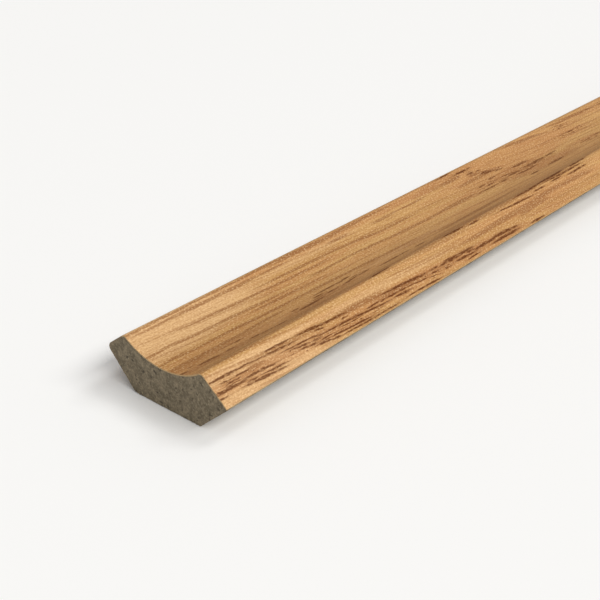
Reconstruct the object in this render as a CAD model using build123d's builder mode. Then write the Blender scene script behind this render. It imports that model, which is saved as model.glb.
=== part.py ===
"""Foil-wrapped MDF scotia moulding, one stock length lying on its chamfered back, cove upwards.

The section is drawn as it is fitted: x runs out from the wall and y up from the floor. The section plane
then tips it onto its back chamfer. X is the length, and the toe points to -Y. Millimetres and degrees.
"""

import os
from math import cos, radians, tan

from build123d import *

# Stock length, and the two legs, one against the wall and one on the floor
LENGTH = 2400.0
WALL_LEG = 18.0
FLOOR_LEG = 18.0

# Back chamfer, measured up the wall leg and along the floor leg
WALL_CHAMFER = 9.5
FLOOR_CHAMFER = 10.3

# Lip at the top of the wall leg: its thickness, and the fall of its top towards the room
LIP_THICKNESS = 5.1
LIP_FALL = 4.0

# Toe at the end of the floor leg: its height, and the lean of its front towards the wall
TOE_HEIGHT = 6.55
TOE_LEAN = 8.4

# Cove between lip and toe, and the easing of the edges
COVE_RADIUS = 13.85
LIP_RADIUS = 0.7
NOSE_RADIUS = 0.95
LIP_BACK_RADIUS = 0.9
CHAMFER_RADIUS = 1.4

# Decor foil: its thickness, and how far down the wall leg it laps behind the lip
FOIL_THICKNESS = 0.2
FOIL_LAP = 3.0

FALL = tan(radians(LIP_FALL))
LEAN = tan(radians(TOE_LEAN))


def lip_top(x, inset):
    """Height of the lip's top line at x, with the line moved into the moulding by inset."""
    return WALL_LEG - x * FALL - inset / cos(radians(LIP_FALL))


def toe_front(y, inset):
    """Reach of the toe's front line at y, with the line moved into the moulding by inset."""
    return FLOOR_LEG - y * LEAN - inset / cos(radians(TOE_LEAN))


def uncut_corner(inset):
    """Point where the lip's top and the toe's front lines would meet if the cove weren't cut."""
    x = (toe_front(0, inset) - lip_top(0, inset) * LEAN) / (1 - FALL * LEAN)
    return (x, lip_top(x, inset))


# Corners of the section before the edges are eased
LIP_BACK = (0, WALL_LEG)
LIP_FRONT = (LIP_THICKNESS, lip_top(LIP_THICKNESS, 0))
NOSE = (toe_front(TOE_HEIGHT, 0), TOE_HEIGHT)
TOE_FOOT = (FLOOR_LEG, 0)
CHAMFER_FOOT = (FLOOR_CHAMFER, 0)
CHAMFER_HEAD = (0, WALL_CHAMFER)
FOIL_END = (0, WALL_LEG - FOIL_LAP)

# The cove is one arc from the lip's front to the nose
COVE_CENTRE = RadiusArc(LIP_FRONT, NOSE, -COVE_RADIUS).arc_center

# Section plane: the back chamfer lies on Z = 0, with its middle at the origin
OUTWARDS = Vector(0, -FLOOR_CHAMFER, WALL_CHAMFER).normalized()
UPWARDS = Vector(0, WALL_CHAMFER, FLOOR_CHAMFER).normalized()
SECTION_PLANE = Plane(
    origin=OUTWARDS * (-FLOOR_CHAMFER / 2) + UPWARDS * (-WALL_CHAMFER / 2),
    x_dir=OUTWARDS,
    z_dir=(-1, 0, 0),
)

# Core section: the decorated sides and the cove stand back by the foil's thickness
with BuildSketch(SECTION_PLANE) as core_section:
    with BuildLine():
        Polyline(
            CHAMFER_HEAD,
            FOIL_END,
            (FOIL_THICKNESS, WALL_LEG - FOIL_LAP),
            (FOIL_THICKNESS, lip_top(FOIL_THICKNESS, FOIL_THICKNESS)),
            uncut_corner(FOIL_THICKNESS),
            (toe_front(0, FOIL_THICKNESS), 0),
            CHAMFER_FOOT,
            close=True,
        )
    make_face()
    with BuildLine():
        CenterArc(COVE_CENTRE, COVE_RADIUS + FOIL_THICKNESS, 0, 360)
    make_face(mode=Mode.SUBTRACT)
    fillet(core_section.vertices().sort_by_distance(LIP_BACK)[0], LIP_BACK_RADIUS - FOIL_THICKNESS)
    fillet(core_section.vertices().sort_by_distance(LIP_FRONT)[0], LIP_RADIUS - FOIL_THICKNESS)
    fillet(core_section.vertices().sort_by_distance(NOSE)[0], NOSE_RADIUS - FOIL_THICKNESS)
    fillet(core_section.vertices().sort_by_distance(CHAMFER_HEAD)[0], CHAMFER_RADIUS)

# Foil section: the whole section with its eased edges, less the core
with BuildSketch(SECTION_PLANE) as foil_section:
    with BuildLine():
        Polyline(CHAMFER_HEAD, LIP_BACK, uncut_corner(0), TOE_FOOT, CHAMFER_FOOT, close=True)
    make_face()
    with BuildLine():
        CenterArc(COVE_CENTRE, COVE_RADIUS, 0, 360)
    make_face(mode=Mode.SUBTRACT)
    fillet(foil_section.vertices().sort_by_distance(LIP_BACK)[0], LIP_BACK_RADIUS)
    fillet(foil_section.vertices().sort_by_distance(LIP_FRONT)[0], LIP_RADIUS)
    fillet(foil_section.vertices().sort_by_distance(NOSE)[0], NOSE_RADIUS)
    fillet(foil_section.vertices().sort_by_distance(CHAMFER_HEAD)[0], CHAMFER_RADIUS)
    add(core_section.sketch_local, mode=Mode.SUBTRACT)

# MDF core: a lip, a cove, a toe, a wall face, a floor face and the back chamfer
with BuildPart() as mdf_core:
    with BuildSketch(SECTION_PLANE):
        add(core_section.sketch_local)
    extrude(amount=LENGTH / 2, both=True)
mdf_core.part.label = "mdf_core"

# Decor foil: one strip from behind the lip, over the lip, the cove and the nose, down to the toe's foot
with BuildPart() as decor_foil:
    with BuildSketch(SECTION_PLANE):
        add(foil_section.sketch_local)
    extrude(amount=LENGTH / 2, both=True)
decor_foil.part.label = "decor_foil"

os.makedirs("parts", exist_ok=True)
export_step(mdf_core.part, "parts/mdf_core.step")
export_step(decor_foil.part, "parts/decor_foil.step")
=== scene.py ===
"""Dresses a foil-wrapped MDF scotia moulding: an oak-print foil glued over a milled and sawn core.

Lengths are metres in the moulding's own frame: X runs along the stock, Z up out of the cove, and the toe
points to -Y. On a section, x is the reach out from the wall and y the height above the floor. The print is
laid out in millimetres, along the stock from its sawn end and across the foil from the lip's front edge.
"""

import logging
import math
from dataclasses import dataclass, field
from enum import Enum, IntEnum

import bpy
import numpy as np
from mathutils import Matrix, Vector


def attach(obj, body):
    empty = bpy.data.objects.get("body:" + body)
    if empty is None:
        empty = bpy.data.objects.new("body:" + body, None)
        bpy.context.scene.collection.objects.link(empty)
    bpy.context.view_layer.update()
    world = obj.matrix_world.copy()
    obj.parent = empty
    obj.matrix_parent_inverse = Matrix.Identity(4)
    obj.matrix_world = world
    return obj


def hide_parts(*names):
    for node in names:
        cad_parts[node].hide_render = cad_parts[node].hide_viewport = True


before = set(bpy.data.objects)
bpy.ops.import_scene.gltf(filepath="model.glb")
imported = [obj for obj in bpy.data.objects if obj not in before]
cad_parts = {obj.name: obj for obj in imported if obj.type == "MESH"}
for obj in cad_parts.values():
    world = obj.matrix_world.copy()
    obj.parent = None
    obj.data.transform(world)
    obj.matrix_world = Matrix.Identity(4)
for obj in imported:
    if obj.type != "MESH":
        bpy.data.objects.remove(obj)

LOG = logging.getLogger("scotia")

Pair = tuple[float, float]
Triple = tuple[float, float, float]
Rgba = tuple[float, float, float, float]

# millimetres in a metre
MILLI = 1000.0
# cells of a noise lattice, each way, before it repeats
LATTICE = 128
# vertices that lie closer than this become one
WELD = 1e-8
# half a streak's reach and a little more, because its tips fade
HALF_REACH = 0.55
# order of a grid's rows or columns: as they are, or turned so that its faces point outwards
KEPT = slice(None)
TURNED = slice(None, None, -1)
# shares from one side of a map's box to the other
SIDES = np.array([0.0, 1.0])


def linear(red: int, green: int, blue: int) -> Rgba:
    """Turns a display colour into the linear one that a shader takes, by the standard display curve.

    Args:
        red, green, blue: display values from 0 to 255.

    Returns:
        Linear red, green and blue, and an alpha of 1.
    """
    display = np.array([red, green, blue]) / 255
    value = np.where(display <= 0.04045, display / 12.92, ((display + 0.055) / 1.055) ** 2.4)
    return (*map(float, value), 1.0)


def lattice_noise(across: np.ndarray, up: np.ndarray, cell: float, seed: int) -> np.ndarray:
    """Smooth random heights: random values on a square lattice, blended between its corners.

    The weights of the blend are smoothsteps of the place within its cell.

    Args:
        across, up: places on a plane, in metres.
        cell: the lattice's spacing, in metres.
        seed: picks the random values.

    Returns:
        Heights from 0 to 1, in the shape of the places.
    """
    table = np.random.default_rng(seed).random((LATTICE, LATTICE))
    places = np.stack([across, up]) / cell
    corner = np.floor(places).astype(int)
    part = places - corner
    part = part * part * (3 - 2 * part)
    i, j = corner % LATTICE
    k, m = (corner + 1) % LATTICE
    low = table[i, j] * (1 - part[0]) + table[k, j] * part[0]
    high = table[i, m] * (1 - part[0]) + table[k, m] * part[0]
    return low * (1 - part[1]) + high * part[1]


class Signal:
    """One output socket of a shader, whose sums and products add Math nodes to its sheet."""

    def __init__(self, sheet: "NodeSheet", socket: bpy.types.NodeSocket) -> None:
        """Wraps a socket of a sheet."""
        self.sheet = sheet
        self.socket = socket

    def also(self, output: int | str) -> "Signal":
        """Another output of the same node."""
        return Signal(self.sheet, self.socket.node.outputs[output])

    def _math(self, operation: str, *terms: "Signal | float") -> "Signal":
        """A Math node on the given terms."""
        return self.sheet.node("ShaderNodeMath", {"operation": operation}, dict(enumerate(terms)))

    def _step(self, low: float, high: float, first: float, last: float) -> "Signal":
        """A smooth step from the first value at low to the last at high."""
        limits = {"Value": self, "From Min": low, "From Max": high, "To Min": first, "To Max": last}
        return self.sheet.node("ShaderNodeMapRange", {"interpolation_type": "SMOOTHSTEP"}, limits)

    def __add__(self, other: "Signal | float") -> "Signal":
        """Sum."""
        return self._math("ADD", self, other)

    __radd__ = __add__

    def __sub__(self, other: "Signal | float") -> "Signal":
        """Difference."""
        return self._math("SUBTRACT", self, other)

    def __rsub__(self, other: float) -> "Signal":
        """Difference from a number."""
        return self._math("SUBTRACT", other, self)

    def __mul__(self, other: "Signal | float") -> "Signal":
        """Product."""
        return self._math("MULTIPLY", self, other)

    __rmul__ = __mul__

    def __truediv__(self, other: "Signal | float") -> "Signal":
        """Quotient."""
        return self._math("DIVIDE", self, other)

    def __rtruediv__(self, other: float) -> "Signal":
        """Number over this value."""
        return self._math("DIVIDE", other, self)

    def dot(self, weights: Triple) -> "Signal":
        """A vector's parts, each times its weight, added."""
        terms = {0: self, 1: weights}
        return self.sheet.node("ShaderNodeVectorMath", {"operation": "DOT_PRODUCT"}, terms, "Value")

    def sine(self) -> "Signal":
        """Sine, in radians."""
        return self._math("SINE", self)

    def most(self, other: "Signal | float") -> "Signal":
        """The larger of two values."""
        return self._math("MAXIMUM", self, other)

    def least(self, other: "Signal | float") -> "Signal":
        """The smaller of two values."""
        return self._math("MINIMUM", self, other)

    def rise(self, low: float, high: float) -> "Signal":
        """A smooth step from 0 at low to 1 at high."""
        return self._step(low, high, 0.0, 1.0)

    def fall(self, low: float, high: float) -> "Signal":
        """A smooth step from 1 at low to 0 at high."""
        return self._step(low, high, 1.0, 0.0)


class NodeSheet:
    """A node tree, written as expressions on signals."""

    def __init__(self, tree: bpy.types.NodeTree, output: str) -> None:
        """Empties the tree and gives it an output node.

        Args:
            tree: a material's or a world's tree.
            output: the output node's type.
        """
        self.tree = tree
        self.tree.nodes.clear()
        self.output = self.tree.nodes.new(output)

    def node(self, kind: str, settings: dict, sockets: dict, output: int | str = 0) -> Signal:
        """Adds any node.

        Args:
            kind: the node's type.
            settings: its properties, set before its sockets.
            sockets: a value or a Signal for each named or numbered input.
            output: the output that is wanted.

        Returns:
            That output as a Signal.
        """
        made = self.tree.nodes.new(kind)
        for key, value in settings.items():
            setattr(made, key, value)
        self.feed(made, sockets)
        return Signal(self, made.outputs[output])

    def feed(self, made: bpy.types.Node, sockets: dict) -> None:
        """Sets or links a node's inputs.

        Args:
            made: the node.
            sockets: a value or a Signal for each named or numbered input.
        """
        for key, value in sockets.items():
            if isinstance(value, Signal):
                self.tree.links.new(value.socket, made.inputs[key])
            else:
                made.inputs[key].default_value = value


class NoiseSpace(Enum):
    """What a noise is drawn on."""

    PLANE = "2D"
    SOLID = "3D"


class ShaderSheet(NodeSheet):
    """The node tree of one material, with a Principled shader."""

    def __init__(self, name: str) -> None:
        """Makes the material.

        Args:
            name: the material's name.
        """
        self.material = bpy.data.materials.new(name)
        self.material.use_nodes = True
        super().__init__(self.material.node_tree, "ShaderNodeOutputMaterial")
        surface = self.node("ShaderNodeBsdfPrincipled", {}, {})
        self.shader = surface.socket.node
        self.feed(self.output, {"Surface": surface})

    def in_space(self) -> Signal:
        """The place in the piece's own space."""
        return self.node("ShaderNodeTexCoord", {}, {}, "Object")

    def on_print(self) -> Signal:
        """The place along the stock on the foil's print map, with the place across it as output Y."""
        place = self.node("ShaderNodeUVMap", {"uv_map": "print"}, {})
        return self.node("ShaderNodeSeparateXYZ", {}, {"Vector": place})

    def point(self, x: Signal | float, y: Signal | float, z: Signal | float = 0.0) -> Signal:
        """A vector of three values."""
        return self.node("ShaderNodeCombineXYZ", {}, {"X": x, "Y": y, "Z": z})

    def noise(
        self, place: Signal, scale: float, octaves: float, rough: float, space: NoiseSpace = NoiseSpace.SOLID
    ) -> Signal:
        """Cloudy noise from 0 to 1.

        Args:
            place: where it is read.
            scale: its cells in each unit of the place.
            octaves, rough: its layers, and how strong each one is beside the last.
            space: what it is drawn on.

        Returns:
            The noise as a Signal.
        """
        values = {"Vector": place, "Scale": scale, "Detail": octaves, "Roughness": rough}
        return self.node("ShaderNodeTexNoise", {"noise_dimensions": space.value}, values)

    def coated(self, ground: Signal | Rgba, coats: list[tuple[Signal, Rgba]]) -> Signal | Rgba:
        """Lays coats of colour over a ground, one on another.

        A Mix node takes its factor at input 0 and its colours at 6 and 7, and gives a colour at output 2.

        Args:
            ground: the colour under them all.
            coats: for each coat, how much it covers, from 0 to 1, and its colour.

        Returns:
            The colour that shows.
        """
        settings = {"data_type": "RGBA", "blend_type": "MIX", "clamp_factor": True}
        for cover, ink in coats:
            ground = self.node("ShaderNodeMix", settings, {0: cover, 6: ground, 7: ink}, 2)
        return ground

    def bump(self, height: Signal, depth: float) -> Signal:
        """A normal that follows a height from 0 to 1, over a depth in metres."""
        return self.node("ShaderNodeBump", {}, {"Height": height, "Distance": depth}, "Normal")

    def dress(self, **sockets: Signal | float | Rgba) -> bpy.types.Material:
        """Feeds the shader's sockets, with underscores for the spaces in their names."""
        self.feed(self.shader, {key.replace("_", " "): value for key, value in sockets.items()})
        return self.material


class StreakKind(Enum):
    """How a streak of the print is drawn."""

    STROKE = "one dark, broken pore stroke"
    DASH = "one crisp brown dash"
    LINE = "one soft brown grain line"
    FLECKS = "a cluster of short, dark flecks"
    STAIN = "a wide, reddish patch"
    # brown patches of the print; some of them are painted shade along the nose and low in the cove
    SHADE = "a wide, brown patch"
    # painted sheen: a paler patch for the glare near the sawn end and the highlight on the nose
    WASH = "a wide, paler patch"
    TINT = "a wide, slightly paler patch"


@dataclass(frozen=True)
class GrainStreak:
    """One lens-shaped streak of the print, in millimetres from the sawn end and the lip's front edge."""

    kind: StreakKind
    start: float
    reach: float
    across: float
    slope: float
    half_width: float

    def spread(self, place: Signal) -> Signal:
        """How far out a place lies from the streak's middle.

        It adds the squares of the place's shares of the lens's two half axes.

        Args:
            place: millimetres along the length, millimetres across the foil, and 1.

        Returns:
            0 in the middle, 1 on the outline of the lens and more outside it.
        """
        half = self.reach * HALF_REACH
        level = self.slope * self.start - self.across
        along = place.dot((1 / half, 0.0, -(self.start + self.reach / 2) / half))
        beside = place.dot((-self.slope / self.half_width, 1 / self.half_width, level / self.half_width))
        return along * along + beside * beside


def streaks(kind: StreakKind, *rows: tuple[float, float, float, float, float]) -> tuple[GrainStreak, ...]:
    """Streaks of one kind, from rows of start, reach, place across at the start, slope and half width."""
    return tuple(GrainStreak(kind, *row) for row in rows)


NEAR_END_STREAKS = (
    *streaks(
        StreakKind.STROKE,
        # on the toe's front
        (-3, 12, 19.58, 0.02, 0.17),
        (8.5, 9, 19.95, 0.05, 0.2),
        (11.8, 5.5, 19.55, 0.03, 0.13),
        (1.8, 5.8, 20.38, 0.04, 0.15),
        (2.4, 3, 20.97, 0.0, 0.1),
        (-4, 10, 21.45, 0.03, 0.21),
        (5.7, 5.8, 21.52, 0.045, 0.17),
        (-3, 4.4, 22.45, 0.0, 0.19),
        (5.1, 8.4, 22.52, 0.062, 0.19),
        (5.8, 2, 22.2, 0.02, 0.16),
        (8.9, 5.4, 22.2, 0.075, 0.15),
        (14.2, 7.6, 20.92, 0.055, 0.15),
        (16.7, 3.6, 21.5, 0.09, 0.13),
        (17.8, 3.4, 22.05, 0.1, 0.17),
        (18.5, 11.2, 19.82, 0.068, 0.19),
        (22, 2.2, 20.65, 0.08, 0.1),
        (22.3, 17.4, 21.52, 0.057, 0.2),
        (23.7, 10, 22.66, 0.058, 0.18),
        (20.8, 3.5, 22.72, 0.13, 0.15),
        (24.2, 2, 23.28, 0.04, 0.14),
        (27.2, 13.6, 23.48, 0.015, 0.17),
        (28.4, 1.5, 21.18, 0.0, 0.12),
        (34.3, 3.2, 21.77, 0.01, 0.12),
        (37.8, 1.2, 21.85, 0.0, 0.13),
        (39.2, 10.4, 21.0, 0.056, 0.22),
        (49, 1.8, 21.66, 0.0, 0.13),
        (51.9, 2.5, 21.62, 0.02, 0.18),
        (38.5, 8.6, 21.82, 0.045, 0.15),
        (46.8, 3.6, 22.22, 0.08, 0.13),
        (41, 4.6, 22.5, 0.045, 0.18),
        (51.9, 2.2, 22.24, 0.02, 0.14),
        (51, 3, 22.68, 0.11, 0.12),
        (44.2, 9, 23.5, 0.02, 0.17),
        (55, 9.8, 21.86, 0.0, 0.3),
        (56.3, 2.4, 21.5, 0.0, 0.13),
        (59.2, 5.9, 22.64, 0.03, 0.21),
        (62.1, 3.8, 23.4, 0.0, 0.13),
        (65.2, 6.8, 22.5, 0.0, 0.28),
        (71.2, 7.9, 22.34, 0.045, 0.34),
        (70.7, 8.4, 23.2, 0.01, 0.26),
        (62.8, 2.4, 22.25, 0.02, 0.16),
        (55.7, 0.8, 22.7, 0.0, 0.2),
        (83.3, 4.5, 23.68, 0.0, 0.15),
        # along the foot of the cove and the nose
        (60.4, 6, 17.62, 0.01, 0.26),
        (39.6, 5, 17.45, 0.0, 0.24),
        (68.2, 2.7, 18.13, 0.0, 0.13),
        (76.6, 12.8, 18.62, 0.043, 0.17),
        (84.5, 11, 17.8, -0.01, 0.22),
        (90.5, 3.7, 18.62, 0.04, 0.17),
        (93, 10, 17.58, 0.0, 0.3),
        (95, 14, 18.14, 0.016, 0.22),
        (97, 3.8, 18.68, 0.0, 0.15),
        (103.2, 7, 19.1, 0.0, 0.2),
        (105.6, 6, 17.62, 0.0, 0.24),
        # just below the lip
        (81.5, 4.6, 0.66, 0.0, 0.14),
        (86.6, 5.6, 1.55, 0.0, 0.17),
    ),
    *streaks(
        StreakKind.DASH,
        # high in the cove
        (89.8, 2.1, 2.7, 0.0, 0.2),
        (92.5, 1.7, 3.0, 0.0, 0.14),
        (93.4, 2.4, 3.85, 0.0, 0.22),
        (93.8, 3.2, 4.35, 0.03, 0.24),
        (97, 2.9, 5.03, 0.01, 0.18),
        (88.3, 2.2, 6.8, 0.0, 0.2),
        (92.8, 2.6, 6.1, 0.0, 0.24),
        (102, 5.4, 6.2, 0.03, 0.28),
        (90.4, 2.4, 7.45, 0.0, 0.24),
        (88, 5.2, 8.35, 0.0, 0.2),
        (94.1, 2.6, 8.4, 0.0, 0.24),
        (97.8, 4.2, 7.8, 0.0, 0.28),
        (100.2, 7, 8.75, 0.02, 0.26),
        (104.5, 8, 7.75, 0.01, 0.32),
        (112.8, 4.2, 7.75, 0.0, 0.3),
        (101.6, 2.8, 10.95, 0.0, 0.26),
        (109, 6, 10.8, 0.0, 0.34),
        # low in the cove
        (11.3, 2.5, 12.45, 0.0, 0.22),
        (-2, 3.4, 13.1, 0.05, 0.36),
        (2.1, 1.4, 12.45, 0.0, 0.24),
        (3.6, 4, 13.3, 0.1, 0.4),
        (8.8, 1.8, 13.75, 0.0, 0.28),
        (14, 1.8, 14.02, 0.05, 0.26),
        (15.4, 4, 14.42, 0.06, 0.28),
        (19.2, 2.2, 14.85, 0.0, 0.28),
        (25, 1.6, 12.65, 0.0, 0.22),
        (25.8, 6, 13.8, -0.03, 0.4),
        (31.8, 5.6, 11.52, 0.0, 0.24),
        (37.1, 2.1, 11.6, 0.05, 0.24),
        (38.9, 2.2, 11.48, 0.0, 0.24),
        (33.5, 2.6, 13.05, 0.0, 0.22),
        (37.3, 4.6, 13.2, -0.12, 0.25),
        (41.8, 3.6, 12.75, -0.02, 0.24),
        (47, 8, 13.66, 0.03, 0.3),
        (56.7, 3.2, 14.1, 0.0, 0.28),
    ),
    *streaks(
        StreakKind.LINE,
        # in the cove
        (-4, 38, 0.74, 0.003, 0.2),
        (31, 17, 0.86, 0.02, 0.38),
        (44, 20, 1.05, 0.0, 0.28),
        (4, 29, 1.42, 0.013, 0.26),
        (9.5, 24, 3.95, 0.04, 0.22),
        (29.5, 13, 4.86, 0.015, 0.28),
        (-3, 9, 5.9, -0.03, 0.26),
        (3, 28, 5.74, 0.045, 0.3),
        (22, 15, 7.52, 0.032, 0.26),
        (-3, 8, 8.85, -0.08, 0.24),
        (2.5, 30, 8.5, 0.042, 0.27),
        (28, 33, 9.5, 0.05, 0.28),
        (-3, 19, 10.62, 0.022, 0.42),
        (16, 8, 10.9, 0.0, 0.36),
        (9, 2.6, 12.15, 0.05, 0.2),
        (28.5, 19, 3.66, 0.022, 0.26),
        (46, 12, 4.12, 0.06, 0.24),
        (37.5, 10, 6.72, -0.01, 0.24),
        (46.5, 17, 6.55, 0.062, 0.26),
        (59.5, 17, 7.58, 0.012, 0.3),
        (46.2, 5, 2.25, 0.02, 0.22),
        (59, 7, 2.72, 0.0, 0.28),
        (66.4, 8, 2.72, 0.01, 0.24),
        (55, 13, 4.92, 0.02, 0.22),
        (74, 11, 7.7, 0.01, 0.45),
        (81.6, 6, 2.25, 0.0, 0.4),
        (85.5, 12, 4.4, 0.0, 0.45),
        (89.6, 4, 3.3, 0.06, 0.24),
        (85.8, 3.4, 8.25, 0.0, 0.24),
        (105, 16, 0.8, 0.08, 0.3),
        (66.5, 24, 13.2, 0.005, 0.5),
        # on the toe's front
        (6.8, 3.6, 20.72, 0.0, 0.36),
        (28, 12, 20.35, 0.04, 0.5),
        (38, 13, 21.5, 0.02, 0.4),
        (64, 26, 20.52, -0.012, 0.5),
        (88, 12, 20.12, 0.0, 0.38),
        (98, 12, 20.16, 0.045, 0.38),
        (82, 4.4, 21.4, -0.03, 0.24),
        (83, 9, 21.0, 0.0, 0.5),
    ),
    *streaks(
        StreakKind.FLECKS,
        (-8, 22, 20.9, 0.05, 1.0),
        (10, 30, 21.4, 0.05, 1.2),
        (38, 22, 22.2, 0.02, 0.9),
        (84, 18, 1.0, 0.25, 1.0),
        (86, 28, 7.4, 0.04, 1.4),
        (28, 18, 12.6, 0.0, 0.9),
    ),
    *streaks(
        StreakKind.STAIN,
        (-8, 26, 20.8, 0.05, 1.2),
        (6, 30, 21.2, 0.05, 1.3),
        (26, 34, 21.2, 0.04, 1.4),
        (50, 34, 22.4, 0.03, 1.1),
        (62, 50, 19.6, 0.0, 1.3),
        (76, 44, 20.7, 0.0, 1.1),
        (74, 5, 1.9, 0.0, 0.6),
        (84, 18, 1.0, 0.25, 1.1),
        (80, 50, 4.0, 0.0, 4.2),
        (86, 28, 7.4, 0.04, 1.7),
        (100, 22, 9.8, 0.0, 1.3),
        (14, 36, 7.4, 0.02, 1.1),
        (54, 40, 7.6, 0.0, 1.1),
        (20, 90, 1.2, 0.0, 1.0),
        (24, 24, 5.4, 0.0, 0.8),
    ),
    *streaks(
        StreakKind.SHADE,
        # painted shade: this row and the one at 17.55 across darken the top of the nose, where its shading
        # turns
        (50, 56, 17.7, 0.0, 0.75),
        (-8, 30, 11.2, 0.03, 0.9),
        # low in the cove: darker zones of the print, partly painted shade of the hollow
        (-6, 24, 13.4, 0.05, 1.0),
        (21, 20, 13.6, 0.0, 0.9),
        (18, 20, 15.4, 0.02, 1.4),
        (32, 20, 16.6, 0.0, 0.9),
        (52, 16, 16.3, 0.0, 1.0),
        (61, 11, 15.0, 0.0, 0.7),
        (68, 14, 16.2, 0.0, 1.4),
        # painted shade along the top of the nose
        (-6, 70, 17.55, 0.0, 0.3),
        (1, 14, 20.7, 0.05, 0.5),
        (72, 14, 1.7, 0.0, 0.8),
        (90, 12, 3.1, 0.16, 0.5),
        (84, 26, 20.1, 0.0, 0.8),
        (95, 16, 6.6, 0.07, 1.7),
        (95, 28, 8.9, 0.06, 1.8),
    ),
    *streaks(
        StreakKind.WASH,
        # painted sheen: glare near the sawn end over the upper cove and the toe, and the highlight on the
        # nose
        (-26, 52, 2.6, 0.02, 5.0),
        (-24, 48, 22.4, 0.02, 4.4),
        (-16, 40, 19.0, 0.005, 0.8),
    ),
    *streaks(
        StreakKind.TINT,
        (26, 28, 2.3, 0.0, 0.8),
        (22, 40, 19.4, 0.02, 0.8),
        (44, 26, 11.8, 0.0, 0.7),
    ),
)


@dataclass(frozen=True)
class GrainNoise:
    """One noise of the print, with the length and the width of its cells in millimetres."""

    along: float
    across: float
    octaves: float = 2.0
    rough: float = 0.5

    def at(self, run: Signal, cross: Signal) -> Signal:
        """The noise, from 0 to 1, at a place along the stock and across the foil."""
        place = run.sheet.point(run / self.along, cross / self.across)
        return run.sheet.noise(place, 1.0, self.octaves, self.rough, NoiseSpace.PLANE)

    def shift(self, run: Signal, cross: Signal, width: float) -> Signal:
        """The noise as a shift to either side, over a width in all."""
        return (self.at(run, cross) - 0.5) * width


@dataclass
class Grain:
    """The print's noises at a place of the foil, each from 0 to 1.

    Growth makes the soft bands, lines the grain lines, fibre the fine fibres, hairs and ticks the long and
    the short pores, flush the reddish tinge, mottle the pressed texture and its painted glints, and chance
    the crowds of pores further along.
    """

    growth: Signal
    lines: Signal
    fibre: Signal
    hairs: Signal
    ticks: Signal
    flush: Signal
    mottle: Signal
    chance: Signal


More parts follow.
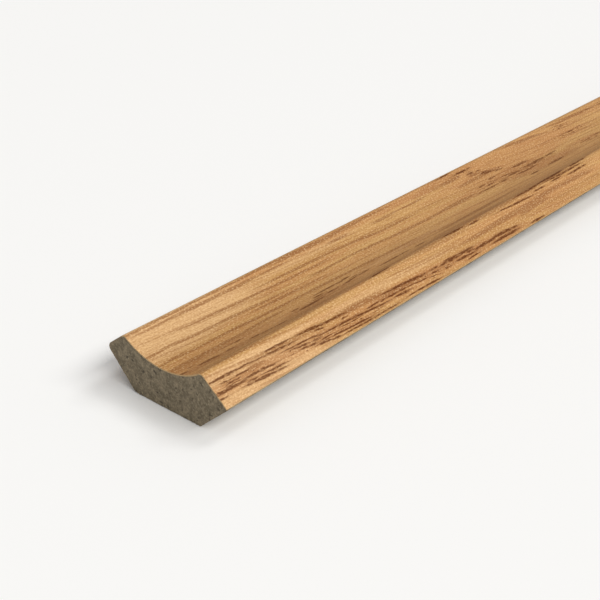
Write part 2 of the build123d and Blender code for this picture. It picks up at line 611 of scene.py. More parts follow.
@dataclass(frozen=True)
class OakPrint:
    """Satin oak-print foil: soft growth bands, fine fibres, dark pores and a pressed texture with painted
    glints, with painted sheen and painted shade laid among its streaks near the sawn end.

    Widths and lengths are millimetres, and the relief is metres. A pair gives where a smooth step begins and
    where it ends, in millimetres or, for the edges of streaks, in their spread.
    """

    name: str = "oak_print"
    painted_glint: Rgba = linear(237, 200, 152)
    wash: Rgba = linear(223, 183, 134)
    pale: Rgba = linear(198, 155, 97)
    tan: Rgba = linear(179, 134, 80)
    blush: Rgba = linear(182, 127, 79)
    band: Rgba = linear(156, 107, 62)
    seam: Rgba = linear(138, 90, 48)
    pore: Rgba = linear(92, 45, 5)
    streaks: tuple[GrainStreak, ...] = NEAR_END_STREAKS
    growth: GrainNoise = GrainNoise(200, 3.0, 2.0, 0.55)
    lines: GrainNoise = GrainNoise(40, 0.55, 3.0, 0.6)
    fibre: GrainNoise = GrainNoise(6.0, 0.2, 3.0, 0.7)
    hairs: GrainNoise = GrainNoise(5.0, 0.3, 2.0, 0.6)
    ticks: GrainNoise = GrainNoise(1.2, 0.34)
    flush: GrainNoise = GrainNoise(22, 1.5)
    mottle: GrainNoise = GrainNoise(0.42, 0.26, 2.0, 0.6)
    chance: GrainNoise = GrainNoise(30, 2.2)
    waver: GrainNoise = GrainNoise(60, 14, 1.0)
    bend: GrainNoise = GrainNoise(7, 0.7, 2.0, 0.6)
    jag: GrainNoise = GrainNoise(0.7, 0.4, 1.0)
    meander_length: float = 1400.0
    meander_width: float = 12.0
    waver_width: float = 2.4
    bend_width: float = 0.36
    jag_width: float = 0.2
    drawn_by_chance: Pair = (100.0, 135.0)
    shaded_hollow_top: Pair = (8.0, 13.0)
    shaded_hollow_foot: Pair = (17.0, 18.0)
    patch_edge: Pair = (0.3, 1.3)
    line_edge: Pair = (0.4, 2.0)
    stroke_edge: Pair = (0.5, 1.5)
    halo_edge: Pair = (0.8, 4.0)
    crowding: float = 0.2
    gloss: float = 0.12
    relief: float = 0.00005

    def grain(self, run: Signal, cross: Signal) -> Grain:
        """Reads the noises on growth lines that wander along the stock.

        The lines shift across the foil by a long sine of the place along it, and waver by a small noise.

        Args:
            run: millimetres along the stock.
            cross: millimetres across the foil.

        Returns:
            The noises.
        """
        meander = (run * (2 * math.pi / self.meander_length)).sine() * self.meander_width
        ring = cross - meander + self.waver.shift(run, cross, self.waver_width)
        return Grain(
            growth=self.growth.at(run, ring),
            lines=self.lines.at(run, ring),
            fibre=self.fibre.at(run, ring),
            hairs=self.hairs.at(run, ring),
            ticks=self.ticks.at(run, ring),
            flush=self.flush.at(run, ring),
            mottle=self.mottle.at(run, cross),
            chance=self.chance.at(run, ring),
        )

    def nearest(self, run: Signal, cross: Signal) -> dict[StreakKind, Signal]:
        """How far out a place lies from the nearest streak of each kind: the least of their spreads.

        The place is shaken across the foil by two noises, which bend the streaks and fray them.

        Args:
            run: millimetres along the stock.
            cross: millimetres across the foil.

        Returns:
            The least spread for each kind.
        """
        bend = self.bend.shift(run, cross, self.bend_width)
        jag = self.jag.shift(run, cross, self.jag_width)
        shaken = run.sheet.point(run, cross + bend + jag, 1.0)
        near: dict[StreakKind, Signal] = {}
        for streak in self.streaks:
            spread = streak.spread(shaken)
            near[streak.kind] = near[streak.kind].least(spread) if streak.kind in near else spread
        return near

    def material(self) -> bpy.types.Material:
        """Draws the print, by listed streaks near the sawn end and by chance further along.

        Returns:
            The finished material.
        """
        sheet = ShaderSheet(self.name)
        place = sheet.on_print()
        run, cross = place * MILLI, place.also("Y") * MILLI
        grain = self.grain(run, cross)
        near = self.nearest(run, cross)
        patch = {kind: spread.fall(*self.patch_edge) for kind, spread in near.items()}
        # further along, chance crowds the pores and reddens the ground
        far = run.rise(*self.drawn_by_chance)
        chanced = grain.chance.rise(0.48, 0.62) * far
        crowd = patch[StreakKind.FLECKS].most(chanced * 1.3) * self.crowding
        # grain lines follow the fibres
        veins = near[StreakKind.LINE].fall(*self.line_edge)
        veins = veins.most(grain.lines.rise(0.54, 0.7) * (far * 0.5 + 0.5)) * (grain.fibre * 0.8 + 0.5)
        # pores are strokes that the ticks break, and the crests of hairs and ticks
        strokes = near[StreakKind.STROKE].fall(*self.stroke_edge)
        strokes = strokes.most(near[StreakKind.DASH].fall(*self.stroke_edge) * 0.8)
        pores = strokes * (grain.ticks.rise(0.36, 0.5) * 0.55 + 0.45)
        pores = pores.most((grain.hairs + crowd + patch[StreakKind.FLECKS] * 0.06).rise(0.83, 0.95))
        pores = pores.most((grain.ticks + crowd).rise(0.84, 0.96))
        halo = near[StreakKind.STROKE].fall(*self.halo_edge).most((grain.hairs + crowd).rise(0.7, 0.86))
        # the hollow of the cove is in shade: painted shade makes it a little redder, with fewer painted
        # glints
        shaded_hollow = cross.rise(*self.shaded_hollow_top) * cross.fall(*self.shaded_hollow_foot)
        redder = patch[StreakKind.STAIN].most(chanced).most(shaded_hollow * 0.8)
        paler = (patch[StreakKind.WASH] * 0.7).most(patch[StreakKind.TINT] * 0.4)
        # each coat covers a share of its noise, from where the noise begins to show to where it is full
        colour = sheet.coated(self.pale, [
            (grain.growth.rise(0.3, 0.72), self.tan),
            (grain.flush.rise(0.5, 0.72) * 0.5, self.blush),
            # painted sheen near the sawn end and on the nose, and slightly paler patches
            (paler, self.wash),
            # brown patches of the print, and painted shade along the nose and low in the cove
            (patch[StreakKind.SHADE] * 0.65, self.seam),
            (grain.lines.rise(0.42, 0.75) * 0.5, self.band),
            # reddish stains, and the painted shade of the cove's hollow
            (redder * 0.5, self.blush),
            (veins * 0.9, self.seam),
            (grain.fibre.rise(0.46, 0.7) * 0.5, self.band),
            (grain.fibre.fall(0.3, 0.5) * 0.35, self.pale),
            # painted glints of the pressed texture, fewer in the painted shade of the hollow
            (grain.mottle.rise(0.52, 0.72) * (0.5 - shaded_hollow * 0.12), self.painted_glint),
            (grain.mottle.fall(0.25, 0.5) * 0.42, self.band),
            (halo * (grain.fibre * 0.6), self.seam),
            (pores * (1.05 - grain.mottle * 0.3), self.pore),
            # a little more painted sheen
            (patch[StreakKind.WASH] * 0.05, self.wash),
        ])
        return sheet.dress(
            Base_Color=colour,
            Roughness=0.44 + grain.mottle * 0.16 + pores * 0.1,
            Specular_IOR_Level=self.gloss,
            Normal=sheet.bump(grain.mottle * 0.7 + grain.fibre * 0.5, self.relief),
        )


@dataclass(frozen=True)
class PaperEdge:
    """Bare cut edge of the foil: cream, resin-filled paper, mottled with board dust and darker behind the
    lip.

    The smear's scale is cells to a metre, and the end of the darker band behind the lip is in millimetres
    from the lip's front edge.
    """

    name: str = "foil_cut_edge"
    paper: Rgba = linear(190, 158, 112)
    dust: Rgba = linear(116, 100, 78)
    smear_scale: float = 1400.0
    darker_end: Pair = (-0.6, 0.2)
    relief: float = 0.00003

    def material(self) -> bpy.types.Material:
        """Mottles the paper on Object coordinates and darkens it behind the lip's front edge, by its place
        across the foil.

        Returns:
            The finished material.
        """
        sheet = ShaderSheet(self.name)
        smear = sheet.noise(sheet.in_space(), self.smear_scale, 2.0, 0.6)
        lip = (sheet.on_print().also("Y") * MILLI).fall(*self.darker_end)
        # a dust smear at random, and a darker band behind the lip's front edge
        smeared_and_darker = (smear.rise(0.45, 0.75) * 0.6).most(lip * 0.92)
        return sheet.dress(
            Base_Color=sheet.coated(self.paper, [(smeared_and_darker, self.dust)]),
            Roughness=0.7 + smear * 0.2,
            Normal=sheet.bump(smear, self.relief),
        )


class FoilFace(IntEnum):
    """Faces of the foil, in the order of its material slots."""

    PRINTED = 0
    BARE = 1


class BoardFace(IntEnum):
    """Faces of the MDF, in the order of the core's material slots."""

    MILLED = 0
    SAWN = 1


@dataclass(frozen=True)
class FibreBoard:
    """Grey-brown MDF: matted fibres, darker specks and pale dust, drawn out and smoother where milled.

    Scales are cells to a metre, and the draw shrinks them along the stock.
    """

    face: BoardFace
    name: str = "mdf"
    felt: Rgba = linear(136, 122, 98)
    shade: Rgba = linear(98, 87, 67)
    speck: Rgba = linear(50, 42, 31)
    dust: Rgba = linear(170, 155, 127)
    patch_scale: float = 620.0
    felt_scale: float = 2300.0
    speck_scale: float = 1150.0
    milled_draw: Triple = (0.06, 1.0, 1.0)
    milled_relief: float = 0.00005
    sawn_relief: float = 0.00012

    def material(self) -> bpy.types.Material:
        """Draws the fibres on Object coordinates.

        Returns:
            The finished material.
        """
        sheet = ShaderSheet(f"{self.name}_{self.face.name.lower()}")
        place = drawn = sheet.in_space()
        relief = self.sawn_relief
        if self.face is BoardFace.MILLED:
            draw = {0: place, 1: self.milled_draw}
            drawn = sheet.node("ShaderNodeVectorMath", {"operation": "MULTIPLY"}, draw)
            relief = self.milled_relief
        patch = sheet.noise(place, self.patch_scale, 2.0, 0.6)
        felt = sheet.noise(drawn, self.felt_scale, 3.0, 0.7)
        specks = sheet.noise(drawn, self.speck_scale, 2.0, 0.5)
        colour = sheet.coated(self.shade, [
            (patch.rise(0.34, 0.66) * 0.75 + 0.1, self.felt),
            (felt.rise(0.48, 0.7) * 0.55, self.dust),
            (felt.fall(0.32, 0.5) * 0.6, self.shade),
            (specks.fall(0.28, 0.4) * 0.75, self.speck),
        ])
        return sheet.dress(
            Base_Color=colour,
            Roughness=0.8 + felt * 0.15,
            Normal=sheet.bump(felt * 0.8 + patch * 0.2, relief),
        )


@dataclass(frozen=True)
class PaleFloor:
    """Plain matt studio floor, almost white."""

    name: str = "pale_floor"
    tone: Rgba = linear(250, 250, 249)
    cloud_scale: float = 3.0

    def material(self) -> bpy.types.Material:
        """A white whose gloss is barely clouded.

        Returns:
            The finished material.
        """
        sheet = ShaderSheet(self.name)
        cloud = sheet.noise(sheet.in_space(), self.cloud_scale, 2.0, 0.5)
        return sheet.dress(Base_Color=self.tone, Roughness=0.75 + cloud * 0.1)


def arc(centre: np.ndarray, radius: float, start: np.ndarray, end: np.ndarray, count: int) -> np.ndarray:
    """Points at even angles on the shorter arc about a centre, from the direction of start to that of end.

    Args:
        centre: the arc's centre.
        radius: its radius.
        start, end: points on its end radii.
        count: how many points.

    Returns:
        The points, one to a row.
    """
    first, last = (math.atan2(p[1] - centre[1], p[0] - centre[0]) for p in (start, end))
    turn = (last - first + math.pi) % (2 * math.pi) - math.pi
    angle = first + turn * np.linspace(0, 1, count)
    return centre + radius * np.stack([np.cos(angle), np.sin(angle)], 1)


def straight(start: np.ndarray, end: np.ndarray, count: int) -> np.ndarray:
    """Evenly spaced points from start to end, one to a row."""
    return np.linspace(start, end, count)


def strung(*runs: np.ndarray) -> np.ndarray:
    """Runs of points joined end to start, with each shared point kept once."""
    return np.concatenate([runs[0], *(run[1:] for run in runs[1:])])


def travelled(path: np.ndarray) -> np.ndarray:
    """Distance along a path of points, from its first one."""
    return np.concatenate([[0.0], np.cumsum(np.linalg.norm(np.diff(path, axis=0), axis=1))])


@dataclass
class ScotiaProfile:
    """The moulding's section: lip, cove and toe in front, wall face, back chamfer and floor face behind.

    The last fields are how many points each stretch gets.
    """

    length: float = 2.4
    wall_leg: float = 0.018
    floor_leg: float = 0.018
    wall_chamfer: float = 0.0095
    floor_chamfer: float = 0.0103
    lip_thickness: float = 0.0051
    lip_fall: float = math.radians(4.0)
    toe_height: float = 0.00655
    toe_lean: float = math.radians(8.4)
    cove_radius: float = 0.01385
    lip_radius: float = 0.0007
    nose_radius: float = 0.00095
    lip_back_radius: float = 0.0009
    chamfer_radius: float = 0.0014
    foil_thickness: float = 0.0002
    foil_lap: float = 0.003
    foil_trim: float = 0.00013
    foil_bevel: float = 0.00008
    lap_points: int = 6
    lip_back_points: int = 12
    lip_top_points: int = 14
    lip_points: int = 12
    cove_points: int = 96
    nose_points: int = 16
    toe_points: int = 32
    wall_points: int = 24
    head_points: int = 10
    chamfer_points: int = 60
    floor_points: int = 30

    def corners(self) -> dict[str, np.ndarray]:
        """Corners of the section before its edges are eased, and the cove's centre.

        The centre stands off the middle of the chord from lip to nose, on the room's side, by the third side
        of the triangle on the radius and half the chord.

        Returns:
            Named points, reach and height.
        """
        lip = np.array([self.lip_thickness, self.wall_leg - self.lip_thickness * math.tan(self.lip_fall)])
        nose = np.array([self.floor_leg - self.toe_height * math.tan(self.toe_lean), self.toe_height])
        half = np.linalg.norm(lip - nose) / 2
        off = np.array([lip[1] - nose[1], nose[0] - lip[0]]) / (2 * half)
        return {
            "lip": lip,
            "nose": nose,
            "toe": np.array([self.floor_leg, 0.0]),
            "chamfer_foot": np.array([self.floor_chamfer, 0.0]),
            "chamfer_head": np.array([0.0, self.wall_chamfer]),
            "cove": (lip + nose) / 2 + off * math.sqrt(self.cove_radius**2 - half**2),
        }

    def face(self, inset: float, trim: float = 0.0) -> tuple[np.ndarray, float]:
        """The decorated line, from the foil's end behind the lip to the toe's foot, moved into the moulding.

        Straight runs are shifted along their normals, the cove's radius grows by the inset, and the eased
        edges keep their centres, so their radii shrink by it. An eased edge beside the cove has its centre
        where the shifted straight line meets a circle about the cove's centre.

        Args:
            inset: how far the line stands back from the outer face.
            trim: how far above the floor the line ends.

        Returns:
            The points, and the length of the path up to the lip's front edge.
        """
        corner = self.corners()
        cove = corner["cove"]
        down_lip = np.array([math.cos(self.lip_fall), -math.sin(self.lip_fall)])
        into_lip = np.array([down_lip[1], -down_lip[0]])
        down_toe = np.array([math.sin(self.toe_lean), -math.cos(self.toe_lean)])
        into_toe = np.array([down_toe[1], -down_toe[0]])
        # centres of the three eased edges
        easing = self.lip_back_radius
        drop = (easing * math.sin(self.lip_fall) + easing) / math.cos(self.lip_fall)
        back = np.array([easing, self.wall_leg - drop])
        lip = self.beside_cove(corner["lip"] + into_lip * self.lip_radius, down_lip, self.lip_radius)
        nose = self.beside_cove(corner["nose"] + into_toe * self.nose_radius, down_toe, self.nose_radius)
        # radii of the inset line, and the points where its stretches meet
        cove_radius = self.cove_radius + inset
        back_radius = self.lip_back_radius - inset
        lip_radius = self.lip_radius - inset
        nose_radius = self.nose_radius - inset
        behind = back - np.array([back_radius, 0.0])
        over = back - into_lip * back_radius
        brink = lip - into_lip * lip_radius
        to_lip = cove + (lip - cove) / np.linalg.norm(lip - cove) * cove_radius
        to_nose = cove + (nose - cove) / np.linalg.norm(nose - cove) * cove_radius
        under = nose - into_toe * nose_radius
        foot = corner["toe"] + into_toe * inset
        foot = foot - down_toe * ((foot[1] - trim) / down_toe[1])
        top = strung(
            straight(np.array([inset, self.wall_leg - self.foil_lap]), behind, self.lap_points),
            arc(back, back_radius, behind, over, self.lip_back_points),
            straight(over, brink, self.lip_top_points),
        )
        path = strung(
            top,
            arc(lip, lip_radius, brink, to_lip, self.lip_points),
            arc(cove, cove_radius, to_lip, to_nose, self.cove_points),
            arc(nose, nose_radius, to_nose, under, self.nose_points),
            straight(under, foot, self.toe_points),
        )
        return path, float(travelled(top)[-1])

    def beside_cove(self, point: np.ndarray, along: np.ndarray, radius: float) -> np.ndarray:
        """Centre of an eased edge: where a line meets the circle that lies radius outside the cove's.

        Args:
            point: a point on the line, close to the edge.
            along: the line's direction.
            radius: the easing's radius.

        Returns:
            The meeting point nearer to the given one.
        """
        off = point - self.corners()["cove"]
        lead = float(off @ along)
        root = math.sqrt(lead * lead - float(off @ off) + (self.cove_radius + radius) ** 2)
        shift = min(-lead - root, -lead + root, key=abs)
        return point + along * shift

    def back(self) -> tuple[np.ndarray, np.ndarray, np.ndarray]:
        """The bare sides: the wall face below the foil, the chamfer with its eased head, and the floor face.

        The head's arc touches the wall and the chamfer at equal distances from their corner.

        Returns:
            Points of the wall face, of the chamfer, and of the floor face from the chamfer to the toe.
        """
        corner = self.corners()
        head, foot = corner["chamfer_head"], corner["chamfer_foot"]
        along = (foot - head) / np.linalg.norm(foot - head)
        half = math.acos(-along[1]) / 2
        reach = self.chamfer_radius * math.tan(half)
        centre = head + np.array([self.chamfer_radius, reach])
        wall_end, chamfer_start = head + np.array([0.0, reach]), head + along * reach
        wall = straight(np.array([0.0, self.wall_leg - self.foil_lap]), wall_end, self.wall_points)
        chamfer = strung(
            arc(centre, self.chamfer_radius, wall_end, chamfer_start, self.head_points),
            straight(chamfer_start, foot, self.chamfer_points),
        )
        floor = straight(foot, self.face(self.foil_thickness)[0][-1], self.floor_points)
        return wall, chamfer, floor

    def lay(self, section: np.ndarray) -> np.ndarray:
        """Turns section points onto the back chamfer, whose middle is the origin.

        Args:
            section: reach and height, in the last axis.

        Returns:
            Y and Z in the moulding's frame, in the last axis.
        """
        slant = math.hypot(self.floor_chamfer, self.wall_chamfer)
        cos, sin = self.floor_chamfer / slant, self.wall_chamfer / slant
        x, y = section[..., 0] - self.floor_chamfer / 2, section[..., 1] - self.wall_chamfer / 2
        return np.stack([sin * y - cos * x, sin * x + cos * y], -1)


@dataclass
class QuadMesh:
    """Vertices, quads and corner maps gathered from grids that share one mesh."""

    vertices: list[np.ndarray] = field(default_factory=list)
    quads: list[np.ndarray] = field(default_factory=list)
    slots: list[np.ndarray] = field(default_factory=list)
    maps: dict[str, list[np.ndarray]] = field(default_factory=dict)
    count: int = 0

    def grid(self, places: np.ndarray, slot: int, **maps: np.ndarray) -> None:
        """Adds a grid of quads between neighbouring rows and columns of places.

        Args:
            places: rows by columns by three coordinates.
            slot: the material slot of its faces.
            maps: for each named map, rows by columns by two.
        """
        rows, columns = places.shape[:2]
        index = np.arange(rows * columns).reshape(rows, columns)
        quads = np.stack([index[:-1, :-1], index[1:, :-1], index[1:, 1:], index[:-1, 1:]], -1).reshape(-1, 4)
        self.vertices.append(places.reshape(-1, 3))
        self.quads.append(quads + self.count)
        self.slots.append(np.full(len(quads), slot, np.int32))
        for name, values in maps.items():
            self.maps.setdefault(name, []).append(values.reshape(-1, 2)[quads.ravel()])
        self.count += rows * columns

    def piece(self, name: str, materials: list[bpy.types.Material], crease: float) -> bpy.types.Object:
        """Welds the grids where their edges meet and puts them into one object at the origin.

        Args:
            name: the piece's name.
            materials: its material slots.
            crease: faces that meet at a larger angle, in radians, keep a sharp edge.

        Returns:
            The linked object.
        """
        places, quads = np.concatenate(self.vertices), np.concatenate(self.quads)
        snapped = np.round(places / WELD).astype(np.int64)
        _, first, same = np.unique(snapped, axis=0, return_index=True, return_inverse=True)
        mesh = bpy.data.meshes.new(name)
        mesh.from_pydata(places[first], [], same.ravel()[quads])
        for key, values in self.maps.items():
            corners = np.concatenate(values).astype(np.float32)
            mesh.uv_layers.new(name=key).uv.foreach_set("vector", corners.ravel())
        mesh.polygons.foreach_set("material_index", np.concatenate(self.slots))
        mesh.polygons.foreach_set("use_smooth", np.ones(len(quads), bool))
        mesh.set_sharp_from_angle(angle=crease)
        for material in materials:
            mesh.materials.append(material)
        mesh.update()
        made = bpy.data.objects.new(name, mesh)
        bpy.context.scene.collection.objects.link(made)
        return made


def strip_ends(strip: int, strips: int, length: float, sunk: np.ndarray) -> np.ndarray:
    """X of both ends of one strip of the stock, which is cut into equal strips.

    Args:
        strip: which strip, from 0.
        strips: how many there are.
        length: the stock's length.
        sunk: how far each point of the section lies below the plane of a sawn end.

    Returns:
        Two rows, with one value to each point.
    """
    x = np.array([strip, strip + 1]) / strips * length - length / 2
    ends = np.repeat(x[:, None], len(sunk), 1)
    ends[0] += sunk * (strip == 0)
    ends[1] -= sunk * (strip == strips - 1)
    return ends


def along_stock(x: np.ndarray, section: np.ndarray) -> np.ndarray:
    """A grid of places: each row of x, one value to a point, with Y and Z of the section's points."""
    return np.dstack([x, np.broadcast_to(section, (len(x), *section.shape))])


def box_map(along: np.ndarray, over: np.ndarray, low: Pair, high: Pair) -> np.ndarray:
    """A rectangle of a map: along fills its width and over its height, each stretched to the box.

    Args:
        along: one value to a row of the grid.
        over: one value to a column of the grid.
        low, high: the box's corners.

    Returns:
        Rows by columns by two.
    """
    u = low[0] + (along - along.min()) / np.ptp(along) * (high[0] - low[0])
    v = low[1] + (over - over.min()) / np.ptp(over) * (high[1] - low[1])
    return np.dstack(np.broadcast_arrays(u[:, None], v[None, :]))


@dataclass(frozen=True)
class BakeLayout:
    """Places on a piece's bake map, a unit square with a band for each strip of the stock."""

    band: float
    margin: float = 0.004

    def box(self, strip: int, rows: Pair) -> tuple[Pair, Pair]:
        """Low and high corners of a full-width box, on given rows of a strip's band."""
        base = strip * self.band
        return (self.margin, base + rows[0]), (1 - self.margin, base + rows[1])


@dataclass(frozen=True)
class FoilLayout(BakeLayout):
    """The foil's rows in a band, and above the bands those of its two cut ends."""

    band: float = 0.157
    glued: Pair = (0.002, 0.010)
    rims: tuple[Pair, Pair] = ((0.012, 0.016), (0.018, 0.022))
    printed: Pair = (0.026, 0.153)
    ends: tuple[Pair, Pair] = ((0.946, 0.968), (0.974, 0.996))


@dataclass(frozen=True)
class CoreLayout(BakeLayout):
    """The core's rows in a band, and above the bands the low corners and the width of its two ends."""

    band: float = 0.142
    face: Pair = (0.004, 0.014)
    wall: Pair = (0.014, 0.044)
    chamfer: Pair = (0.048, 0.106)
    floor: Pair = (0.110, 0.140)
    ends: tuple[Pair, Pair] = ((0.02, 0.865), (0.52, 0.865))
    end_width: float = 0.3


@dataclass
class SawCut:
    """A sawn end: fine saw lines and torn-out pits, all of them sunk below the plane of the cut."""

    pit_depth: float = 0.00006
    pit_cells: Pair = (0.0006, 0.00022)
    pit_shares: Pair = (0.55, 0.45)
    pit_brim: float = 0.35
    line_depth: float = 0.000012
    line_pitch: float = 0.0007
    saw_path: Pair = (0.94, 0.34)
    seed: int = 7

    def depth(self, section: np.ndarray) -> np.ndarray:
        """How far each place of the cut lies below its plane.

        Two sizes of lattice noise, above a brim, make the pits, and a sine of the place across the saw's
        slightly turned path makes the lines.

        Args:
            section: Y and Z, in the last axis.

        Returns:
            Depths in metres.
        """
        y, z = section[..., 0], section[..., 1]
        coarse = lattice_noise(y, z, self.pit_cells[0], self.seed)
        fine = lattice_noise(y, z, self.pit_cells[1], self.seed + 1)
        rough = coarse * self.pit_shares[0] + fine * self.pit_shares[1]
        pits = np.clip(rough - self.pit_brim, 0, 1) / (1 - self.pit_brim)
        sweep = y * self.saw_path[0] + z * self.saw_path[1]
        lines = 0.5 + 0.5 * np.sin(sweep * 2 * np.pi / self.line_pitch)
        return pits * self.pit_depth + lines * self.line_depth


@dataclass
class DecorFoil:
    """The wood-print foil over lip, cove, nose and toe, with its cut edges bare and a little chipped."""

    profile: ScotiaProfile
    cut: SawCut
    print_finish: OakPrint = OakPrint()
    edge_finish: PaperEdge = PaperEdge()
    layout: FoilLayout = FoilLayout()
    strips: int = 6
    chip: float = 0.00012
    chip_cell: float = 0.0005
    chip_brim: float = 0.55
    chip_seed: int = 21
    glued_chip_share: float = 0.4
    cut_share: float = 0.3
    crease: float = math.radians(35)

    def printed(self, x: np.ndarray, across: np.ndarray) -> np.ndarray:
        """Places on the print: along from the sawn end, and across from the lip's front edge."""
        return np.dstack([x + self.profile.length / 2, np.broadcast_to(across, x.shape)])

    def shape(self) -> QuadMesh:
        """Carries the outer and inner lines along the length and closes the band at its edges and ends.

        Returns:
            The closed mesh.
        """
        profile, layout = self.profile, self.layout
        outer, brink = profile.face(0.0, profile.foil_trim + profile.foil_bevel)
        inner, _ = profile.face(profile.foil_thickness, profile.foil_trim)
        skin, glued = profile.lay(outer), profile.lay(inner)
        width = travelled(outer)
        across = width - brink
        crests = lattice_noise(width, width * 0, self.chip_cell, self.chip_seed) - self.chip_brim
        chips = self.chip * np.clip(crests, 0, 1)
        skin_sunk = self.cut.depth(skin) * self.cut_share + chips
        glued_sunk = self.cut.depth(glued) * self.cut_share + chips * self.glued_chip_share
        mesh = QuadMesh()
        for strip in range(self.strips):
            skin_x = strip_ends(strip, self.strips, profile.length, skin_sunk)
            glued_x = strip_ends(strip, self.strips, profile.length, glued_sunk)
            face, back = along_stock(skin_x, skin), along_stock(glued_x, glued)
            printed = self.printed(skin_x, across)
            face_bake = box_map(SIDES, width, *layout.box(strip, layout.printed))
            back_bake = box_map(SIDES, width, *layout.box(strip, layout.glued))
            mesh.grid(
                face[:, TURNED], FoilFace.PRINTED, print=printed[:, TURNED], OFBake=face_bake[:, TURNED]
            )
            mesh.grid(back, FoilFace.BARE, print=printed, OFBake=back_bake)
            for side, order, rows in ((0, TURNED, layout.rims[0]), (-1, KEPT, layout.rims[1])):
                rim = np.stack([face[:, side], back[:, side]], 1)
                rim_print = np.stack([printed[:, side], printed[:, side]], 1)
                rim_bake = box_map(SIDES, SIDES, *layout.box(strip, rows))
                mesh.grid(rim[:, order], FoilFace.BARE, print=rim_print[:, order], OFBake=rim_bake[:, order])
        for sign, order, rows in ((1, TURNED, layout.ends[0]), (-1, KEPT, layout.ends[1])):
            x = sign * (np.stack([skin_sunk, glued_sunk]) - profile.length / 2)
            ring = np.dstack([x, np.stack([skin, glued])])
            ring_print = self.printed(x, across)
            ring_bake = box_map(width, SIDES, *layout.box(0, rows)).swapaxes(0, 1)
            mesh.grid(ring[order], FoilFace.BARE, print=ring_print[order], OFBake=ring_bake[order])
        return mesh

    def build(self) -> bpy.types.Object:
        """Dresses the mesh in print and bare paper.

        Returns:
            The foil, which stands for the CAD node.
        """
        finishes = [self.print_finish.material(), self.edge_finish.material()]
        made = self.shape().piece("decor_foil_skin", finishes, self.crease)
        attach(made, "root")
        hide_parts("decor_foil")
        return made


@dataclass
class MdfCore:
    """The core strip: milled wall face, chamfer and floor face, the face under the foil, two sawn ends."""

    profile: ScotiaProfile
    cut: SawCut
    layout: CoreLayout = CoreLayout()
    strips: int = 6
    end_rows: int = 56
    crease: float = math.radians(30)

    def shape(self) -> QuadMesh:
        """Carries the section along the length and closes it with two pitted ends.

        Each end is ruled: straight lines join the face line to the chamfer at equal shares of both, so the
        wall face and the floor face are its two other sides.

        Returns:
            The closed mesh.
        """
        profile, layout = self.profile, self.layout
        wall, chamfer, floor = profile.back()
        face = np.concatenate([wall[:1], profile.face(profile.foil_thickness)[0]])
        sides = (
            (face, layout.face),
            (wall[::-1], layout.wall),
            (chamfer[::-1], layout.chamfer),
            (floor[::-1], layout.floor),
        )
        mesh = QuadMesh()
        for strip in range(self.strips):
            for side, rows in sides:
                laid = profile.lay(side)
                x = strip_ends(strip, self.strips, profile.length, self.cut.depth(laid))
                side_bake = box_map(SIDES, travelled(side), *layout.box(strip, rows))
                mesh.grid(along_stock(x, laid), BoardFace.MILLED, OFBake=side_bake)
        share = np.linspace(0, 1, len(face))
        distance = travelled(chamfer) / travelled(chamfer)[-1]
        opposite = np.stack([np.interp(share, distance, chamfer[:, i]) for i in (0, 1)], 1)
        ruled = np.linspace(0, 1, self.end_rows)[:, None, None]
        end = profile.lay(face * (1 - ruled) + opposite * ruled)
        spread = (end - end.min((0, 1))) / np.ptp(end[..., 0]) * layout.end_width
        for sign, order, corner in ((1, TURNED, layout.ends[0]), (-1, KEPT, layout.ends[1])):
            x = sign * (self.cut.depth(end) - profile.length / 2)
            places, end_bake = np.dstack([x, end]), np.array(corner) + spread
            mesh.grid(places[order], BoardFace.SAWN, OFBake=end_bake[order])
        return mesh

    def build(self) -> bpy.types.Object:
        """Dresses the mesh in milled and sawn board.

        Returns:
            The core, which stands for the CAD node.
        """
        finishes = [FibreBoard(face).material() for face in BoardFace]
        made = self.shape().piece("mdf_core_strip", finishes, self.crease)
        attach(made, "root")
        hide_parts("mdf_core")
        return made


@dataclass(frozen=True)
class Softbox:
    """One rectangular studio light, aimed at a point of the stock."""

    name: str
    stand: Triple
    aim: Triple
    size: Pair
    power: float
    tint: Triple = (1.0, 1.0, 1.0)

    def hang(self) -> bpy.types.Object:
        """Makes the light.

        Returns:
            Its object.
        """
        lamp = bpy.data.lights.new(self.name, "AREA")
        lamp.shape = "RECTANGLE"
        lamp.size, lamp.size_y = self.size
        lamp.energy = self.power
        lamp.color = self.tint
        made = bpy.data.objects.new(self.name, lamp)
        made.location = self.stand
        made.rotation_euler = (Vector(self.aim) - Vector(self.stand)).to_track_quat("-Z", "Y").to_euler()
        bpy.context.scene.collection.objects.link(made)
        return made


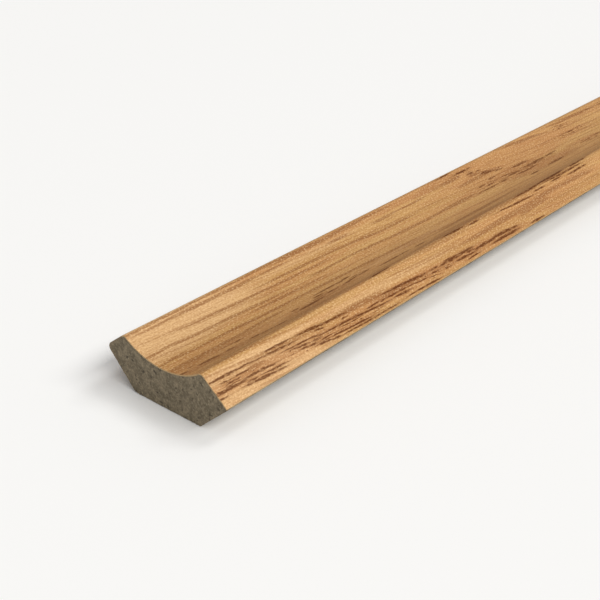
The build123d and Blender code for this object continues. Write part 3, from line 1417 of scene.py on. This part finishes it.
@dataclass
class Studio:
    """Pale floor, soft lights and the camera that looks along the stock from its sawn end."""

    lens: float = 68.8735
    sensor: float = 36.0
    clip_near: float = 0.005
    clip_far: float = 600.0
    eye: Triple = (-1.2958141, -0.1079152, 0.0954817)
    right: Triple = (0.6517808, -0.7583956, 0.0042381)
    up: Triple = (0.3570073, 0.3117401, 0.8805475)
    white: Rgba = (1.0, 1.0, 1.0, 1.0)
    sky: float = 0.33
    backdrop: float = 0.9
    floor_reach: float = 400.0
    floor_middle: float = 3.0
    floor_drop: float = 0.0001
    crease: float = math.radians(30)
    lights: tuple[Softbox, ...] = (
        Softbox(
            "key", (-0.7, -230.0, 230.0), (-0.7, 0.0, 0.0), (360.0, 120.0), 930000.0, (1.0, 0.985, 0.965)
        ),
        Softbox("sheen", (10.8, -4.5, 17.7), (-1.2, 0.0, 0.0), (6.0, 9.0), 900.0),
    )

    def build(self) -> None:
        """Sets the sky, the lights, the floor and the camera."""
        bpy.context.scene.view_settings.view_transform = "Standard"
        bpy.context.scene.world = self.surround()
        for light in self.lights:
            light.hang()
        self.floor()
        self.camera()

    def surround(self) -> bpy.types.World:
        """A dim white sky for the light, seen past the floor as a pale backdrop.

        Returns:
            The world.
        """
        world = bpy.data.worlds.new("studio")
        world.use_nodes = True
        sheet = NodeSheet(world.node_tree, "ShaderNodeOutputWorld")
        dim = sheet.node("ShaderNodeBackground", {}, {"Color": self.white, "Strength": self.sky})
        pale = sheet.node("ShaderNodeBackground", {}, {"Color": self.white, "Strength": self.backdrop})
        seen = sheet.node("ShaderNodeLightPath", {}, {}, "Is Camera Ray")
        mixed = sheet.node("ShaderNodeMixShader", {}, {0: seen, 1: dim, 2: pale})
        sheet.feed(sheet.output, {"Surface": mixed})
        return world

    def floor(self) -> bpy.types.Object:
        """Lays the floor just under the chamfer.

        Returns:
            The floor.
        """
        edge = np.array([-self.floor_reach, -self.floor_middle, self.floor_middle, self.floor_reach])
        x, y = np.meshgrid(edge, edge, indexing="ij")
        mesh = QuadMesh()
        mesh.grid(np.dstack([x, y, np.full_like(x, -self.floor_drop)]), 0)
        made = mesh.piece("studio_floor", [PaleFloor().material()], self.crease)
        return made

    def camera(self) -> bpy.types.Object:
        """Stands the camera on its eye point, with its picture's right and up directions.

        Returns:
            The camera.
        """
        data = bpy.data.cameras.new("viewpoint")
        data.sensor_width = self.sensor
        data.lens = self.lens
        data.clip_start = self.clip_near
        data.clip_end = self.clip_far
        made = bpy.data.objects.new("viewpoint", data)
        right, up = Vector(self.right).normalized(), Vector(self.up).normalized()
        axes = Matrix((right, up, right.cross(up))).transposed()
        made.matrix_world = Matrix.Translation(self.eye) @ axes.to_4x4()
        bpy.context.scene.collection.objects.link(made)
        bpy.context.scene.camera = made
        return made


def main() -> None:
    """Builds the moulding's two pieces and the studio."""
    logging.basicConfig(level=logging.INFO, format="%(name)s: %(message)s")
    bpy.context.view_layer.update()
    profile, cut = ScotiaProfile(), SawCut()
    for piece in (MdfCore(profile, cut), DecorFoil(profile, cut)):
        made = piece.build()
        finishes = [material.name for material in made.data.materials]
        LOG.info("%s: %d faces, %s", made.name, len(made.data.polygons), finishes)
    Studio().build()


if __name__ == "__main__":
    main()
